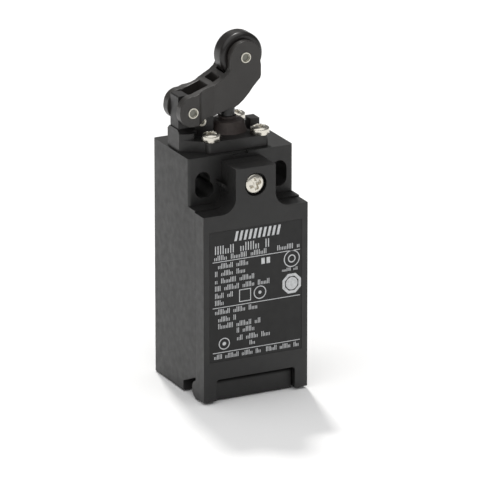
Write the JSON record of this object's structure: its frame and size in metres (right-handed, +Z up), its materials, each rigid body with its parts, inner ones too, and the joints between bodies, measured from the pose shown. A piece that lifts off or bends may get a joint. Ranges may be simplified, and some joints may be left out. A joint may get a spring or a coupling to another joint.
{
  "type": "roller lever limit switch",
  "caption": "Plastic limit switch with a one-way roller arm lever, rubber-sealed plunger, hinged front cover and a conduit entry underneath.",
  "frame": {"origin": "middle of the body's underside, centred on the width and on the depth with the cover closed", "axes": "+Z up along the body towards the roller, -Y towards the hinged cover, +Y towards the mounting face, +X from the lever's pivot towards the roller"},
  "size_m": [0.03, 0.0296, 0.0935],
  "materials": {
    "body_plastic": "satin",
    "cover_plastic": "satin",
    "head_plastic": "satin",
    "lever_plastic": "satin",
    "roller_plastic": "satin",
    "plunger_plastic": "satin",
    "rubber": "matte",
    "nickel": "satin",
    "spring_steel": "polished",
    "brass": "satin",
    "silver": "satin",
    "case_plastic": "satin",
    "carrier_plastic": "satin",
    "label": "matte"
  },
  "bodies": {
    "root": {"housing": "body_plastic", "screw_insert": "brass", "head": "head_plastic", "head_gasket": "rubber", "head_screws": "nickel", "boot": "rubber", "stop_pin": "nickel", "plunger_spring": "spring_steel", "switch_case": "case_plastic", "switch_lid": "case_plastic", "switch_screws": "nickel", "terminal_11": "brass", "terminal_12": "brass", "terminal_23": "brass", "terminal_24": "brass", "fixed_contacts": "silver", "clamp_washers": "nickel", "terminal_screws": "nickel", "return_spring": "spring_steel"},
    "front_cover": {"cover": "cover_plastic", "cover_gasket": "rubber", "cover_screw": "nickel", "cover_screw_seal": "rubber", "label_plate": "label"},
    "roller_lever": {"lever": "lever_plastic", "pivot_pin": "nickel", "roller_pin": "nickel"},
    "roller_wheel": {"roller": "roller_plastic"},
    "plunger_slide": {"plunger": "plunger_plastic"},
    "contact_slide": {"contact_carrier": "carrier_plastic", "nc_bridge": "brass", "no_bridge": "brass", "moving_contacts": "silver", "nc_contact_spring": "spring_steel", "no_contact_spring": "spring_steel"}
  },
  "joints": [
    {"name": "lever_swing", "type": "hinge", "parent": "root", "child": "roller_lever", "pos_m": [-0.0111, 0.004, 0.07465], "axis": [0, 1, 0], "range_deg": [0, 26.5], "stiffness_Nm_per_rad": 0.07, "springref_deg": -31.51},
    {"name": "roller_spin", "type": "hinge", "parent": "roller_lever", "child": "roller_wheel", "pos_m": [0.0042, 0.004, 0.08745], "axis": [0, 1, 0], "continuous": true},
    {"name": "plunger_travel", "type": "slide", "parent": "root", "child": "plunger_slide", "axis": [0, 0, -1], "range_m": [0, 0.00575], "deforming": ["plunger_spring", "boot"]},
    {"name": "contact_travel", "type": "slide", "parent": "root", "child": "contact_slide", "axis": [0, 0, -1], "range_m": [0, 0.00575], "deforming": ["return_spring"]},
    {"name": "cover_hinge", "type": "hinge", "parent": "root", "child": "front_cover", "pos_m": [0, -0.01025, 0.0025], "axis": [1, 0, 0], "range_deg": [0, 90]}
  ],
  "couplings": [
    {"joint": "plunger_travel", "follows": "lever_swing", "m_per_rad": 0.012422},
    {"joint": "contact_travel", "follows": "lever_swing", "m_per_rad": 0.012422}
  ]
}
